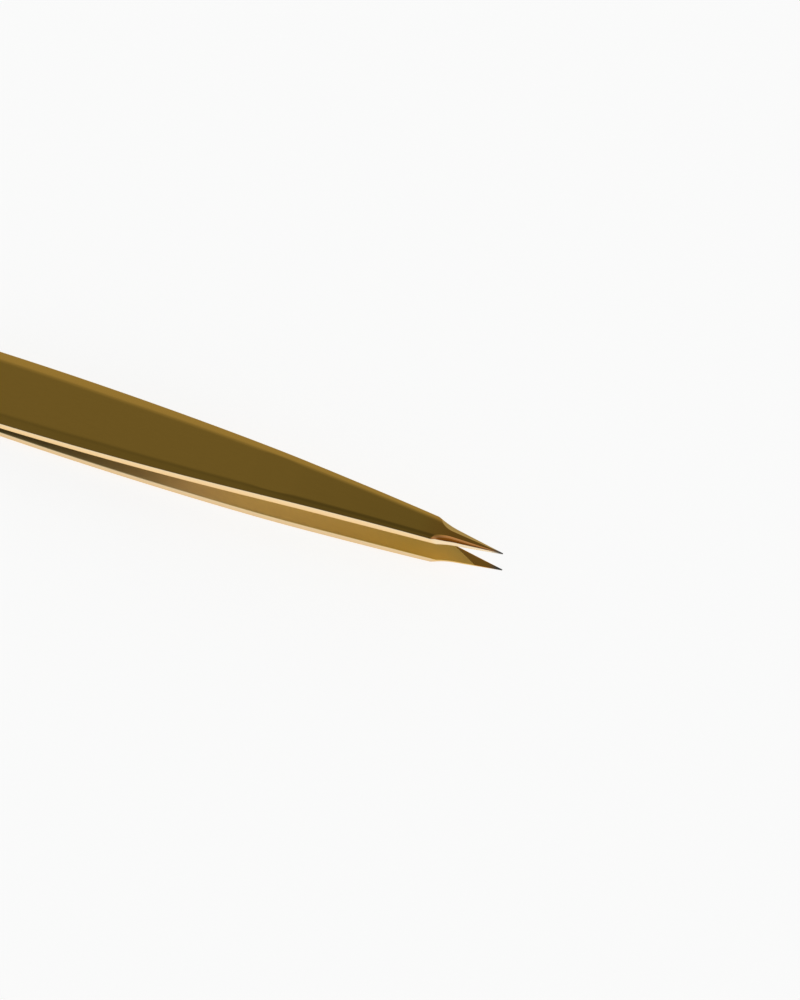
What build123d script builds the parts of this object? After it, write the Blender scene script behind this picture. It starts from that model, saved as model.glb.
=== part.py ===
from build123d import *
import os
from math import atan, cos, degrees, sin, sqrt, tan

# Pointed spring tweezers, in millimetres.
# Two ground steel arms lie face to face at the tail, where they are welded.
# Each arm bows outwards, runs straight to the front and ends in a ground needle tip.
# Distances along the tool are measured from the tips back to the tail.

# Lengths along the tool
total_length = 95.0
needle_length = 8.6
flank_length = 17.0
widest_at = 69.0
weld_start = 75.3
bend_at = 26.9

# Widths across the tool
widest_width = 9.0
flank_width = 5.70
flank_slope = 0.0755
tip_width = 0.18
tail_width = 7.7
tail_flare = 0.035
tail_end_width = 8.0
tail_corner = 3.0

# Heights, from the plane between the arms
tip_gap = 5.0
front_bend_radius = 174.0
tail_bend_radius = 150.0

# Thickness of an arm, square to the plane between the arms
strip_thickness = 1.6
needle_base_thickness = 1.30
tip_thickness = 0.24
thinning_start = 20.0

# Bevels along the outer edges, how far the ground sides lean in, and the edge breaks
bevel_width = 1.15
bevel_drop = 0.30
bevel_full_at = 50.0
front_bevel_width = 0.50
front_bevel_drop = 0.16
side_inset = 0.02
side_inset_front = 0.25
edge_break = 0.08
tail_break = 0.2

# Depth polished flat on the outer side, at the bow and the tail, where the tool lies on a table
rest_flat = 0.02

# Ground sides of the needle: straight up to a distance from the tips, then the wheel's hollow
side_start = 5.6
side_width = 1.90
side_wheel_radius = 13.0

# Ground facets beside the needle's ridge, and the wheel that leaves their rounded start
facet_start = 7.0
facet_width = 2.18
ridge_share = 0.34
facet_drop = 0.38
facet_wheel_radius = 5.0

# Gripping flats lapped on the inside of the tips, with their skewed inner boundary
grip_length = 4.4
grip_skew = 2.0
grip_relief = 0.10

# Spacing of the sections that carry the arm's shape
section_pitch = 1.5


def smooth_step(start, end, start_slope, end_slope, span, at):
    """A cubic from start to end over the span, with a slope at either end."""
    t = at / span
    rise = start * (1 - 3 * t**2 + 2 * t**3) + end * (3 * t**2 - 2 * t**3)
    return rise + span * (start_slope * (t - 2 * t**2 + t**3) + end_slope * (t**3 - t**2))


def half_width(d):
    """Half the width before the needle is ground: straight flank, widest point, tail."""
    flank_end = needle_length + flank_length
    if d <= flank_end:
        return flank_width / 2 - flank_slope * (flank_end - d)
    if d <= widest_at:
        span = widest_at - flank_end
        return smooth_step(flank_width / 2, widest_width / 2, flank_slope, 0, span, d - flank_end)
    span = total_length - widest_at
    return smooth_step(widest_width / 2, tail_width / 2, 0, -tail_flare, span, d - widest_at)


def half_gap(d):
    """Height of the inner face: level at the front, a soft bend, a straight slope, then the weld."""
    slope = atan(tip_gap / 2 / (weld_start - bend_at))
    front_tangent = front_bend_radius * tan(slope / 2)
    tail_tangent = tail_bend_radius * tan(slope / 2)
    if d <= bend_at - front_tangent:
        return tip_gap / 2
    if d <= bend_at + front_tangent * cos(slope):
        run = d - (bend_at - front_tangent)
        return tip_gap / 2 - front_bend_radius + sqrt(front_bend_radius**2 - run**2)
    if d <= weld_start - tail_tangent * cos(slope):
        return (weld_start - d) * tan(slope)
    if d <= weld_start + tail_tangent:
        run = weld_start + tail_tangent - d
        return tail_bend_radius - sqrt(tail_bend_radius**2 - run**2)
    return 0.0


def thickness(d):
    """Arm thickness: full along the spring, thinned towards the needle, then a straight taper."""
    if d <= needle_length:
        return tip_thickness + (needle_base_thickness - tip_thickness) * d / needle_length
    if d >= thinning_start:
        return strip_thickness
    left = (thinning_start - d) / (thinning_start - needle_length)
    return strip_thickness - (strip_thickness - needle_base_thickness) * left**2


def bevel_at(d):
    """Width and drop of the bevel on the outer edges."""
    share = min(1.0, max(0.0, (d - needle_length) / (bevel_full_at - needle_length)))
    width = front_bevel_width + (bevel_width - front_bevel_width) * share
    drop = front_bevel_drop + (bevel_drop - front_bevel_drop) * share
    return width, min(drop, thickness(d) / 2)


def section(d):
    """One cross-section of the upper arm, square to the tool, d behind the tips."""
    w = half_width(d)
    inner = half_gap(d)
    outer = inner + thickness(d)
    width, drop = bevel_at(d)
    right = [
        (w - edge_break, inner),
        (w, inner + edge_break),
        (w - side_inset, outer - drop),
        (w - side_inset - width, outer),
    ]
    left = [(-y, z) for y, z in reversed(right)]
    points = [Vector(-d, y, z) for y, z in right + left]
    return make_face(Polyline(*points, close=True))


def spring_arm():
    """The arm from the needle's base to the tail, before the tail is rounded."""
    steps = round((total_length - needle_length) / section_pitch)
    pitch = (total_length - needle_length) / steps
    stations = [needle_length + pitch * i for i in range(steps + 1)]
    return loft([section(d) for d in stations])


def needle_blank():
    """The front of the arm with its thickness taken down to the tip, before its sides are ground."""
    return loft([section(needle_length), section(0)], ruled=True)


def side_grind(side):
    """The stroke of a wheel that grinds one side of the needle, leaning in towards the outer face."""
    turn = degrees(atan((side_width - tip_width) / 2 / side_start))
    lean = degrees(atan(side_inset_front / needle_base_thickness))
    plane = Pos(0, tip_width / 2, tip_gap / 2) * Rot(0, 0, -turn) * Rot(lean, 0, 0)
    length = side_start / cos(atan((side_width - tip_width) / 2 / side_start))
    stroke = needle_length
    flat = Pos((stroke - length) / 2, stroke / 2, 0) * Box(length + stroke, stroke, stroke)
    wheel = Pos(-length, side_wheel_radius, 0) * Cylinder(side_wheel_radius, stroke)
    grind = plane * (flat + wheel)
    return grind if side > 0 else mirror(grind, about=Plane.XZ)


def tail_trim():
    """What is cut away to round the tail: all behind the corners' centres, outside their arcs."""
    height = 4 * strip_thickness
    block = Pos(-tail_corner, 0, 0) * Box(2 * tail_corner, 2 * widest_width, 2 * height)
    outline = RectangleRounded(4 * tail_corner, tail_end_width, tail_corner)
    keep = Pos(tail_corner, 0, 0) * extrude(outline, height, both=True)
    return Pos(tail_corner - total_length, 0, 0) * (block - keep)


def tail_rim(arm):
    """The outer edges around the rounded tail, on the outer face and across both bevels."""
    behind = 0.5 * tail_corner - total_length
    edges = arm.edges().filter_by(lambda edge: edge.center().X < behind)
    return edges.filter_by(lambda edge: edge.center().Z > strip_thickness / 2)


def facet_grind(side):
    """The stroke of a grinding wheel that leaves one facet beside the ridge."""
    wall_y = facet_width / 2 * side
    ridge_y = wall_y * ridge_share
    base_z = tip_gap / 2 + thickness(facet_start)
    tip = Vector(0, 0, tip_gap / 2 + tip_thickness)
    on_ridge = Vector(-facet_start, ridge_y, base_z)
    on_wall = Vector(-facet_start, wall_y, base_z - facet_drop)
    along = ((on_ridge + on_wall) / 2 - tip).normalized()
    normal = (on_ridge - tip).cross(on_wall - tip).normalized()
    if normal.Z < 0:
        normal = -normal
    plane = Plane(origin=tip, x_dir=along, z_dir=normal)
    stroke = needle_length * 1.02
    length = facet_start / cos(atan((base_z - tip.Z) / facet_start))
    flat = plane * Pos((length - stroke) / 2, 0, stroke / 2) * Box(length + stroke, stroke, stroke)
    wheel = plane * Pos(length, 0, facet_wheel_radius) * Rot(90, 0, 0) * Cylinder(facet_wheel_radius, stroke)
    return flat + wheel


def grip_lap():
    """What the lap takes off the inside of the tip: a thin wedge with a skewed boundary."""
    base = tip_gap / 2
    reach = 2.0
    rate = grip_relief / grip_length
    corners = []
    for x, y in ((reach, reach), (reach, -reach)):
        corners.append(Vector(x, y, base + rate * (grip_length + grip_skew * y + x)))
    for y in (-reach, reach):
        corners.append(Vector(-grip_length - grip_skew * y, y, base))
    lapped = make_face(Polyline(*corners, close=True))
    return extrude(lapped, amount=2 * grip_relief, dir=(0, 0, -1))


def upper_arm():
    """The upper arm in the tool's own frame, with the tips at x = 0."""
    arm = spring_arm() + needle_blank()
    arm -= tail_trim()
    arm = chamfer(tail_rim(arm), tail_break)
    for side in (1, -1):
        arm -= side_grind(side)
        arm -= facet_grind(side)
    arm -= grip_lap()
    return arm - rest_grind()


def rest_pose():
    """Where the tool comes to rest: the tilt, and the height of the tool's mid-plane at the tips."""
    tail_end = total_length - tail_break
    tail_height = half_gap(tail_end) + thickness(tail_end)
    steepest = 0.0
    for i in range(1, round(weld_start)):
        steepest = max(steepest, (half_gap(i) + thickness(i) - tail_height) / (tail_end - i))
    tilt = atan(steepest)
    return tilt, tail_height * cos(tilt) + tail_end * sin(tilt) - rest_flat


def rest_grind():
    """All that lies above the plane on which an arm would rest, turned over, on its outer side."""
    tilt, tip_height = rest_pose()
    above = Pos(0, 0, tip_height + widest_width / 2) * Box(4 * total_length, 2 * widest_width, widest_width)
    return Rot(0, degrees(-tilt), 0) * above


def lay_down(arm):
    """Turn an arm from the tool's frame to its resting pose and centre it over the floor."""
    tilt, tip_height = rest_pose()
    centre = total_length * cos(tilt) / 2
    return Pos(centre, 0, tip_height) * Rot(0, -degrees(tilt), 0) * arm


arm = upper_arm()
os.makedirs("parts", exist_ok=True)
export_step(lay_down(arm), "parts/upper_arm.step")
export_step(lay_down(mirror(arm, about=Plane.XY)), "parts/lower_arm.step")
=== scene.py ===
import math

import bpy
from mathutils import Matrix, Vector


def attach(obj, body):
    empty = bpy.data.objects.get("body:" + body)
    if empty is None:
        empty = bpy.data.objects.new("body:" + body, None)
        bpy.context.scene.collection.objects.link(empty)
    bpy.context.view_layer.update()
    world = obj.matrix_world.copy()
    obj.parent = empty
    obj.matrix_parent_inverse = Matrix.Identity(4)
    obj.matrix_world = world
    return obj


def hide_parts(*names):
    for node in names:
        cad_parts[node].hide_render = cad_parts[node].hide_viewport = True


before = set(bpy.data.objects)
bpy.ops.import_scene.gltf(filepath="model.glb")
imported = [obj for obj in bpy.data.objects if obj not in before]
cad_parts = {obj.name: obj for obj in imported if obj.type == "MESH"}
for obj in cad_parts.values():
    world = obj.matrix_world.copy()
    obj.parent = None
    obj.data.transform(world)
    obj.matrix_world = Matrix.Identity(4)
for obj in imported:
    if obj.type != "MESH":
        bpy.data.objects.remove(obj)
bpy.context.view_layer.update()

MM = 0.001

# The tool's sizes in millimetres, the same as the CAD part's, with distances measured from the tips
TOTAL, NEEDLE, FLANK, WIDEST, WELD, BEND = 95.0, 8.6, 17.0, 69.0, 75.3, 26.9
WIDE, FLANK_W, TIP_W, FLANK_SLOPE = 9.0, 5.70, 0.18, 0.0755
TAIL_W, TAIL_FLARE, TAIL_END_W, TAIL_R = 7.7, 0.035, 8.0, 3.0
GAP, FRONT_R, TAIL_BEND_R = 5.0, 174.0, 150.0
THICK, NEEDLE_T, TIP_T, THIN = 1.6, 1.30, 0.24, 20.0
BEVEL, DROP, BEVEL_FULL, FRONT_BEVEL, FRONT_DROP = 1.15, 0.30, 50.0, 0.50, 0.16
INSET, INSET_FRONT, TAIL_BREAK = 0.02, 0.25, 0.2
SIDE_START, SIDE_W, SIDE_WHEEL = 5.6, 1.90, 13.0
FACET_START, FACET_W, RIDGE, FACET_DROP, WHEEL = 7.0, 2.18, 0.34, 0.38, 5.0
GRIP, SKEW, RELIEF = 4.4, 2.0, 0.10
# The resting pose: the tilt, the tips' height and the middle of the tool
TILT, TIP_HEIGHT, CENTRE = math.radians(2.0672635), 4.9986531, 47.4690855

# Heights over which the corners between two ground surfaces are rounded
SOFT_BEVEL, SOFT_FACET, SOFT_RIM, SOFT_SIDE = 0.07, 0.01, 0.08, 0.03
# The depth of the hollow ground across the near and the far facet
NEAR_HOLLOW, FAR_HOLLOW = 0.07, 0.01
# How much sooner each facet starts to run out, and the near facet's larger wheel
FAR_SOONER, NEAR_SOONER, NEAR_WHEEL = 0.6, 0.8, 1.8 * WHEEL
# How far behind the needle and the facets the ground surfaces are followed
PAST_NEEDLE, PAST_FACET = 2, 3
# A height or a width that limits nothing
FREE = 99.0
# The width of a strip's edge breaks, outside and inside
OUTER_EDGE, INNER_EDGE = 0.05, 0.08


def hermite(start, end, slope_a, slope_b, span, at):
    t = at / span
    rise = start * (1 - 3 * t**2 + 2 * t**3) + end * (3 * t**2 - 2 * t**3)
    return rise + span * (slope_a * (t - 2 * t**2 + t**3) + slope_b * (t**3 - t**2))


def half_width(d):
    flank_end = NEEDLE + FLANK
    if d <= flank_end:
        return FLANK_W / 2 - FLANK_SLOPE * (flank_end - d)
    if d <= WIDEST:
        return hermite(FLANK_W / 2, WIDE / 2, FLANK_SLOPE, 0, WIDEST - flank_end, d - flank_end)
    return hermite(WIDE / 2, TAIL_W / 2, 0, -TAIL_FLARE, TOTAL - WIDEST, d - WIDEST)


def half_gap(d):
    slope = math.atan(GAP / 2 / (WELD - BEND))
    front = FRONT_R * math.tan(slope / 2)
    tail = TAIL_BEND_R * math.tan(slope / 2)
    if d <= BEND - front:
        return GAP / 2
    if d <= BEND + front * math.cos(slope):
        return GAP / 2 - FRONT_R + math.sqrt(FRONT_R**2 - (d - BEND + front) ** 2)
    if d <= WELD - tail * math.cos(slope):
        return (WELD - d) * math.tan(slope)
    if d <= WELD + tail:
        return TAIL_BEND_R - math.sqrt(TAIL_BEND_R**2 - (WELD + tail - d) ** 2)
    return 0.0


def thickness(d):
    if d <= NEEDLE:
        return TIP_T + (NEEDLE_T - TIP_T) * d / NEEDLE
    if d >= THIN:
        return THICK
    return THICK - (THICK - NEEDLE_T) * ((THIN - d) / (THIN - NEEDLE)) ** 2


def bevel_at(d):
    share = min(1.0, max(0.0, (d - NEEDLE) / (BEVEL_FULL - NEEDLE)))
    width = FRONT_BEVEL + (BEVEL - FRONT_BEVEL) * share
    return width, min(FRONT_DROP + (DROP - FRONT_DROP) * share, thickness(d) / 2)


# The plane of a ground side of the needle, and the wheel behind it
SIDE_TURN = math.atan((SIDE_W - TIP_W) / 2 / SIDE_START)
SIDE_LEAN = math.atan(INSET_FRONT / NEEDLE_T)
SIDE_AXES = Matrix.Rotation(-SIDE_TURN, 3, "Z") @ Matrix.Rotation(SIDE_LEAN, 3, "X")
SIDE_RUN = SIDE_START / math.cos(SIDE_TURN)


def side_at(d, z):
    """Half the width at a height above the mid-plane: the flank, or the ground side of the needle."""
    y = half_width(d) - INSET * (z - half_gap(d)) / (THICK - DROP)
    if d > NEEDLE + PAST_NEEDLE:
        return y
    ground = 0.9
    for _ in range(6):
        local = SIDE_AXES.transposed() @ Vector((-d, ground - TIP_W / 2, z - GAP / 2))
        past = min(0.0, local.x + SIDE_RUN)
        surface = SIDE_WHEEL - math.sqrt(max(SIDE_WHEEL**2 - past**2, 0.0))
        ground -= (local.y - surface) / SIDE_AXES[1][1]
    return soft_min(y, ground, SOFT_SIDE)


def soft_min(a, b, r):
    """The lower of two heights, with the corner between them rounded over a height r."""
    h = max(r - abs(a - b), 0.0) / r
    return min(a, b) - h * h * r / 4


# The two facet planes: through the tip, the ridge's edge and the top of the side wall
def facet_plane(side):
    wall = FACET_W / 2 * side
    ridge = wall * RIDGE
    top = GAP / 2 + thickness(FACET_START)
    tip = Vector((0, 0, GAP / 2 + TIP_T))
    on_ridge = Vector((-FACET_START, ridge, top))
    on_wall = Vector((-FACET_START, wall, top - FACET_DROP))
    along = ((on_ridge + on_wall) / 2 - tip).normalized()
    normal = (on_ridge - tip).cross(on_wall - tip).normalized()
    if normal.z < 0:
        normal.negate()
    length = FACET_START / math.cos(math.atan((top - tip.z) / FACET_START))
    # The far facet ends a little sooner, and the near one runs out more gently
    if side > 0:
        return tip, along, normal, length - FAR_SOONER, WHEEL
    return tip, along, normal, length - NEAR_SOONER, NEAR_WHEEL


FACETS = [facet_plane(1), facet_plane(-1)]


def facet_height(facet, x, y):
    tip, along, normal, length, wheel = facet
    z = tip.z - (normal.x * (x - tip.x) + normal.y * (y - tip.y)) / normal.z
    run = (Vector((x, y, z)) - tip).dot(along) - length
    if run > 0.8 * wheel:
        return FREE
    if run > 0:
        z += (wheel - math.sqrt(wheel**2 - run**2)) / normal.z
    return z


def hollow(d, y, side):
    """The slight hollow that the wheel leaves across a facet."""
    share = min(1.0, d / FACET_START)
    across = (y / share - FACET_W / 2 * RIDGE) / (FACET_W / 2 * (1 - RIDGE)) if share > 0.05 else 0.0
    if not 0 < across < 1:
        return 0.0
    return (NEAR_HOLLOW if side < 0 else FAR_HOLLOW) * share * 4 * across * (1 - across)


# The depth from which a place counts as ground off
GROUND_OFF = 0.004


def facet_finish_and_painted_light(d, y):
    """The finish at a place on the outer side: polished, or one of the facets' own, whose colours are
    painted reflections, with a painted highlight along the near facet's upper edge.
    """
    if d > FACET_START + PAST_FACET:
        return OUTER
    top = half_gap(d) + thickness(d)
    width, drop = bevel_at(d)
    above = min(top, top - drop / width * (abs(y) - half_width(d) + INSET + width))
    far, near = (facet_height(facet, -d, y) for facet in FACETS)
    if far < above - GROUND_OFF:
        return FAR_FACET
    if near < above - GROUND_OFF:
        # A narrow strip along the near facet's upper edge gets a paler gold: a painted highlight.
        return FACET_EDGE_HIGHLIGHT if near > above - 0.05 - 0.010 * d else NEAR_FACET
    return OUTER


def outer_height(d, y):
    """Height of an arm's outer side: flat face, bevels, facets, tail rim and the flats it rests on."""
    top = half_gap(d) + thickness(d)
    width, drop = bevel_at(d)
    start = half_width(d) - INSET - width
    z = soft_min(top, top - drop / width * (abs(y) - start), SOFT_BEVEL)
    if d < FACET_START + PAST_FACET:
        for facet, side in zip(FACETS, (1, -1)):
            z = soft_min(z, facet_height(facet, -d, y) - hollow(d, y * side, side), SOFT_FACET)
    if d > TOTAL - TAIL_R - 1:
        out = max(0.0, abs(y) - TAIL_END_W / 2 + TAIL_R)
        z = soft_min(z, top - TAIL_BREAK + TAIL_R - math.hypot(d - (TOTAL - TAIL_R), out), SOFT_RIM)
    return min(z, TIP_HEIGHT / math.cos(TILT) - d * math.tan(TILT))


def inner_height(d, y):
    """Height of an arm's inner side: the flat face and the gripping flat lapped at the tip."""
    return half_gap(d) + max(0.0, RELIEF / GRIP * (GRIP + SKEW * y - d))


def stations():
    """Distances from the tips: close together on the needle, wider on the spring, close at the tail."""
    out = [0.0]
    while out[-1] < 10.5:
        out.append(out[-1] + 0.06)
    while out[-1] < TOTAL - TAIL_R - 0.5:
        out.append(out[-1] + 0.5)
    first = TOTAL - TAIL_R
    turns = 40
    for i in range(turns + 1):
        angle = math.pi / 2 * i / turns
        out.append(first + TAIL_R * math.sin(angle))
    out[-1] = TOTAL - 0.0005
    return out


# How many points go on the outer side, on each rounded edge, on a wall and on the inner side
ACROSS, CORNER, WALL, INSIDE = 72, 4, 3, 20
# The kinds of face, which are also the places of the materials on an arm
OUTER, SIDE_WALL, INNER, FAR_FACET, FACET_EDGE_HIGHLIGHT, NEAR_FACET = range(6)


def section(d):
    """Points round one section, and the kind of face that follows each."""
    cap = FREE
    if d > TOTAL - TAIL_R:
        run = d - TOTAL + TAIL_R
        cap = TAIL_END_W / 2 - TAIL_R + math.sqrt(max(TAIL_R**2 - run**2, 1e-6))
    w = min(side_at(d, inner_height(d, 0)), cap)
    top_y = min(side_at(d, half_gap(d) + thickness(d)), cap)
    for _ in range(8):
        top_y = min(side_at(d, outer_height(d, top_y)), cap)
    wall = outer_height(d, top_y) - half_gap(d)
    edge = min(OUTER_EDGE, 0.3 * w, 0.3 * wall)
    inner_edge = min(INNER_EDGE, 0.2 * w, 0.3 * wall)
    points, kinds = [], []
    # The outer side, from the far edge to the near edge
    for i in range(ACROSS + 1):
        y = (top_y - edge) * (1 - 2 * i / ACROSS)
        points.append((y, outer_height(d, y)))
        kinds.append(OUTER)
    half = []
    z_top = outer_height(d, top_y - edge)
    for i in range(1, CORNER + 1):
        a = math.pi / 2 * i / CORNER
        half.append((top_y - edge + edge * math.sin(a), z_top - edge + edge * math.cos(a), SIDE_WALL))
    z_low = inner_height(d, -w) + inner_edge
    y_a, z_a = half[-1][0], half[-1][1]
    for i in range(1, WALL + 1):
        t = i / WALL
        half.append((y_a + (w - y_a) * t, z_a + (z_low - z_a) * t, SIDE_WALL))
    for i in range(1, CORNER + 1):
        a = math.pi / 2 * i / CORNER
        round_y = w - inner_edge + inner_edge * math.cos(a)
        half.append((round_y, z_low - inner_edge * math.sin(a), INNER))
    for y, z, k in half:
        points.append((-y, z))
        kinds.append(k)
    for i in range(1, INSIDE):
        y = (w - inner_edge) * (-1 + 2 * i / INSIDE)
        points.append((y, inner_height(d, y)))
        kinds.append(INNER)
    # The far side is the near one again, moved with the slant of the gripping flat
    shift = inner_height(d, w) - inner_height(d, -w)
    for y, z, k in reversed(half):
        low = (z - z_top) / (z_low - inner_edge - z_top)
        points.append((y, z + shift * low))
        kinds.append(k)
    return points, kinds


def build_arm(name, side, materials):
    """One arm as a mesh, side 1 for the upper and -1 for the lower, with one material per kind."""
    rows = [section(d) for d in stations()]
    ds = stations()
    count = len(rows[0][0])
    verts, faces, slots = [], [], []
    for d, (points, kinds) in zip(ds, rows):
        for y, z in points:
            z *= side
            x = -d
            verts.append(
                (
                    (x * math.cos(TILT) - z * math.sin(TILT) + CENTRE) * MM,
                    y * MM,
                    (x * math.sin(TILT) + z * math.cos(TILT) + TIP_HEIGHT) * MM,
                )
            )
    kinds = rows[0][1]
    for r in range(len(rows) - 1):
        for c in range(count):
            n = (c + 1) % count
            face = (r * count + c, r * count + n, (r + 1) * count + n, (r + 1) * count + c)
            faces.append(face if side > 0 else face[::-1])
            kind = kinds[c] if kinds[c] == kinds[n] else max(kinds[c], kinds[n])
            slots.append(kind)
    tip = tuple(range(count))
    tail = tuple(range((len(rows) - 1) * count, len(rows) * count))
    faces.append(tip[::-1] if side > 0 else tip)
    faces.append(tail if side > 0 else tail[::-1])
    slots += [SIDE_WALL, SIDE_WALL]
    mesh = bpy.data.meshes.new(name)
    mesh.from_pydata(verts, [], faces)
    for material in materials:
        mesh.materials.append(material)
    for polygon, kind in zip(mesh.polygons, slots):
        polygon.use_smooth = True
        polygon.material_index = kind
        row, column = divmod(polygon.index, count)
        if row >= len(rows) - 1:
            continue
        d = (ds[row] + ds[row + 1]) / 2
        y = (rows[row][0][column][0] + rows[row][0][(column + 1) % count][0]) / 2
        if kind == INNER and d < GRIP + SKEW * y:
            polygon.material_index = OUTER
        elif kind == OUTER:
            polygon.material_index = facet_finish_and_painted_light(d, y)
    mesh.validate()
    obj = bpy.data.objects.new(name, mesh)
    bpy.context.scene.collection.objects.link(obj)
    weighted = obj.modifiers.new("weighted", "WEIGHTED_NORMAL")
    weighted.mode = "FACE_AREA"
    weighted.weight = 50
    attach(obj, "root")
    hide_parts(name.replace("_polished", ""))


def ramp_along(nodes, links, position, stops):
    """A colour that changes along the tool: stops are (x in millimetres, colour)."""
    parts = nodes.new("ShaderNodeSeparateXYZ")
    span = nodes.new("ShaderNodeMapRange")
    span.inputs["From Min"].default_value = stops[0][0] * MM
    span.inputs["From Max"].default_value = stops[-1][0] * MM
    ramp = nodes.new("ShaderNodeValToRGB")
    links.new(position, parts.inputs["Vector"])
    links.new(parts.outputs["X"], span.inputs["Value"])
    links.new(span.outputs["Result"], ramp.inputs["Fac"])
    elements = ramp.color_ramp.elements
    while len(elements) < len(stops):
        elements.new(0.5)
    for element, (x, colour) in zip(elements, stops):
        element.position = (x - stops[0][0]) / (stops[-1][0] - stops[0][0])
        element.color = (*colour, 1)
    return ramp.outputs["Color"]


def gold(name, stops, roughness, spread):
    """Gold-coated steel with a faint grain along the tool and bare grey steel at the very tips."""
    material = bpy.data.materials.new(name)
    material.use_nodes = True
    nodes, links = material.node_tree.nodes, material.node_tree.links
    shader = nodes["Principled BSDF"]
    shader.inputs["Metallic"].default_value = 1.0
    shader.inputs["Specular Tint"].default_value = (1.0, 0.68, 0.28, 1)
    place = nodes.new("ShaderNodeTexCoord")
    stretch = nodes.new("ShaderNodeMapping")
    stretch.inputs["Scale"].default_value = (60.0, 9000.0, 9000.0)
    noise = nodes.new("ShaderNodeTexNoise")
    noise.inputs["Scale"].default_value = 1.0
    noise.inputs["Detail"].default_value = 2.0
    links.new(place.outputs["Object"], stretch.inputs["Vector"])
    links.new(stretch.outputs["Vector"], noise.inputs["Vector"])
    rough = nodes.new("ShaderNodeMapRange")
    rough.inputs["To Min"].default_value = roughness - spread
    rough.inputs["To Max"].default_value = roughness + spread
    links.new(noise.outputs["Fac"], rough.inputs["Value"])
    links.new(rough.outputs["Result"], shader.inputs["Roughness"])
    grain = nodes.new("ShaderNodeMapRange")
    grain.inputs["To Min"].default_value = 0.96
    grain.inputs["To Max"].default_value = 1.04
    links.new(noise.outputs["Fac"], grain.inputs["Value"])
    tint = nodes.new("ShaderNodeMix")
    tint.data_type = "RGBA"
    tint.blend_type = "MULTIPLY"
    tint.inputs["Factor"].default_value = 1.0
    steel = (0.17, 0.17, 0.165)
    full = [*stops, (45.8, stops[-1][1]), (47.0, steel)]
    links.new(ramp_along(nodes, links, place.outputs["Object"], full), tint.inputs["A"])
    links.new(grain.outputs["Result"], tint.inputs["B"])
    links.new(tint.outputs["Result"], shader.inputs["Base Color"])
    return material


GOLD = (0.63, 0.36, 0.064)
polished = gold("gold_polished", [(-48, GOLD), (37, GOLD), (41, (0.56, 0.27, 0.045))], 0.13, 0.02)
# The side walls' pale, creamy gold is a painted highlight standing in for the bright floor they
# reflect; only their rougher ground finish is real.
ground = gold("gold_ground_painted_highlight", [(-48, (0.96, 0.785, 0.54))], 0.30, 0.04)
# The lower arm's walls get a darker copy of that gold: painted shade, as near the floor.
ground_painted_shade = gold("gold_ground_painted_shade", [(-48, (0.80, 0.68, 0.52))], 0.30, 0.04)
# The inner faces' colour along the tool is painted shade and light: dark towards the tail, where the
# arms close together, lighter where the gap opens, and a deeper gold towards the tips; only their satin
# roughness is real.
inner_painted_shade = [
    (-48, (0.36, 0.29, 0.14)),
    (-16, (0.42, 0.34, 0.17)),
    (-9, (0.50, 0.40, 0.20)),
    (-3, (0.58, 0.46, 0.23)),
    (3, (0.68, 0.54, 0.29)),
    (9, (0.84, 0.67, 0.38)),
    (15, (0.85, 0.67, 0.32)),
    (28, (0.76, 0.56, 0.20)),
    (36, (0.75, 0.53, 0.14)),
    (40, (0.83, 0.565, 0.145)),
]
satin_painted_shade = gold("gold_satin_painted_shade", inner_painted_shade, 0.46, 0.04)
# The facets' shades of gold are painted reflections: the far facet a dull olive, the near facet a dark
# red; their smoother roughness is real.
far_facet_painted_reflection = gold("gold_far_facet_painted_reflection", [(-48, (0.46, 0.30, 0.09))], 0.16, 0.02)
# A paler gold for the strip along the near facet's upper edge: a painted highlight.
facet_edge_painted_highlight = gold("gold_facet_edge_painted_highlight", [(-48, (0.86, 0.38, 0.12))], 0.16, 0.02)
near_facet_painted_reflection = gold("gold_near_facet_painted_reflection", [(-48, (0.66, 0.21, 0.022))], 0.16, 0.02)
facets = (far_facet_painted_reflection, facet_edge_painted_highlight, near_facet_painted_reflection)
# The upper arm's walls take the painted-highlight gold, the lower arm's the darker painted-shade copy.
build_arm("upper_arm_polished", 1, (polished, ground, satin_painted_shade, *facets))
build_arm("lower_arm_polished", -1, (polished, ground_painted_shade, satin_painted_shade, *facets))
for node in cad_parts.values():
    node.data.materials.clear()
    node.data.materials.append(polished)

# A pale floor that glows softly, as a light table does
floor_mesh = bpy.data.meshes.new("floor")
reach = 3.0
floor_mesh.from_pydata(
    [(-reach, -reach, 0), (reach, -reach, 0), (reach, reach, 0), (-reach, reach, 0)], [], [(0, 1, 2, 3)]
)
floor = bpy.data.objects.new("floor", floor_mesh)
bpy.context.scene.collection.objects.link(floor)
floor.location.z = -0.00002
paper = bpy.data.materials.new("paper")
paper.use_nodes = True
shade = paper.node_tree.nodes["Principled BSDF"]
shade.inputs["Base Color"].default_value = (0.3, 0.3, 0.3, 1)
shade.inputs["Roughness"].default_value = 0.9
shade.inputs["Emission Color"].default_value = (1.0, 1.0, 1.0, 1)
shade.inputs["Emission Strength"].default_value = 0.825
floor_mesh.materials.append(paper)

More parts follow.
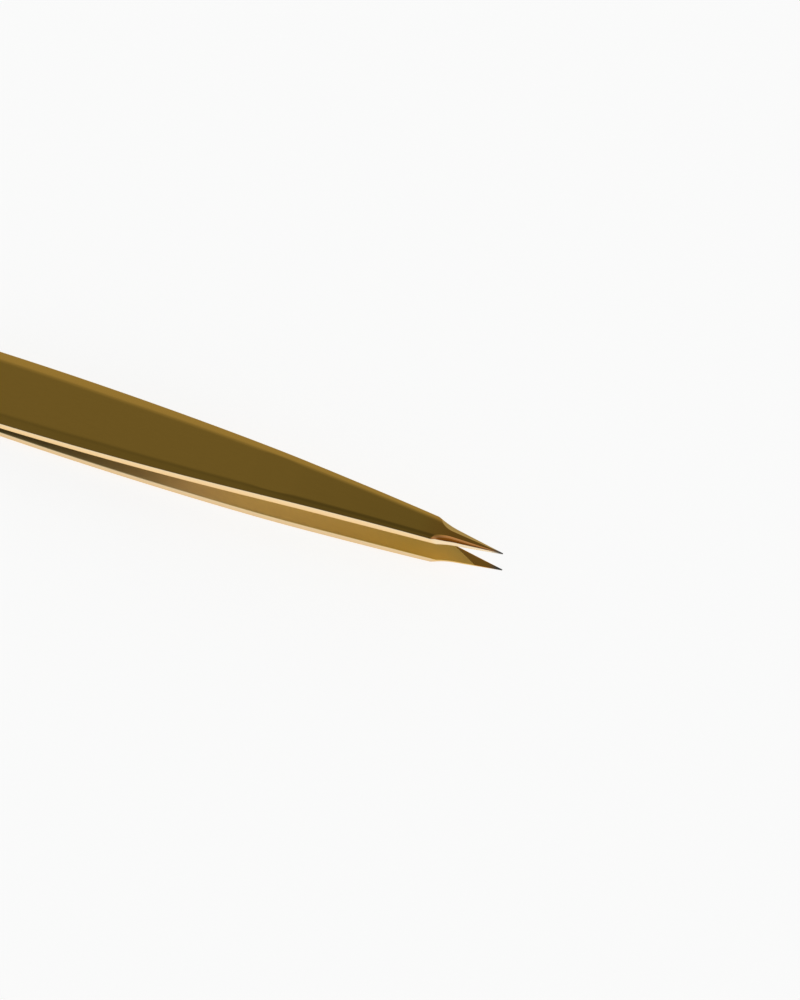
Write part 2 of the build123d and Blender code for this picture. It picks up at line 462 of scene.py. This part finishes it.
# The studio: dim overhead, brighter towards the horizon
world = bpy.data.worlds.new("studio")
bpy.context.scene.world = world
world.use_nodes = True
nodes, links = world.node_tree.nodes, world.node_tree.links
back = nodes["Background"]
where = nodes.new("ShaderNodeTexCoord")
parts = nodes.new("ShaderNodeSeparateXYZ")
ramp = nodes.new("ShaderNodeValToRGB")
links.new(where.outputs["Generated"], parts.inputs["Vector"])
links.new(parts.outputs["Z"], ramp.inputs["Fac"])
links.new(ramp.outputs["Color"], back.inputs["Color"])
ramp.color_ramp.interpolation = "EASE"
stops = [(0.0, 0.90), (0.35, 0.72), (0.62, 0.46), (0.80, 0.31), (0.90, 0.222), (1.0, 0.105)]
GREEN_OVERHEAD = 0.08
while len(ramp.color_ramp.elements) < len(stops):
    ramp.color_ramp.elements.new(0.5)
for element, (at, level) in zip(ramp.color_ramp.elements, stops):
    element.position = at
    element.color = (level, level * (1 + GREEN_OVERHEAD * at**4), level, 1)

bpy.context.scene.view_settings.view_transform = "Standard"

# The camera, along the photograph's line of sight
AZ, EL, PX_PER_MM = math.radians(19.82), math.radians(68.0), 8.377
LENS, SENSOR, FRAME_PX = 200.0, 36.0, 1000.0


def to_rest(v):
    x, y, z = v
    return Vector((x * math.cos(TILT) - z * math.sin(TILT), y, x * math.sin(TILT) + z * math.cos(TILT)))


right = to_rest((math.cos(AZ), math.sin(AZ), 0))
back_axis = to_rest((math.sin(AZ) * math.cos(EL), -math.cos(AZ) * math.cos(EL), math.sin(EL)))
up = back_axis.cross(right)
target = (to_rest((-14.163, 3.333, 0)) + Vector((CENTRE, 0, TIP_HEIGHT))) * MM
distance = FRAME_PX * LENS / (SENSOR * PX_PER_MM) * MM
camera_data = bpy.data.cameras.new("camera")
camera_data.lens = LENS
camera_data.sensor_width = SENSOR
camera_data.clip_start = 0.01
camera = bpy.data.objects.new("camera", camera_data)
camera.matrix_world = Matrix.Translation(target + back_axis * distance) @ Matrix(
    (right, up, back_axis)
).transposed().to_4x4()
bpy.context.scene.collection.objects.link(camera)
bpy.context.scene.camera = camera
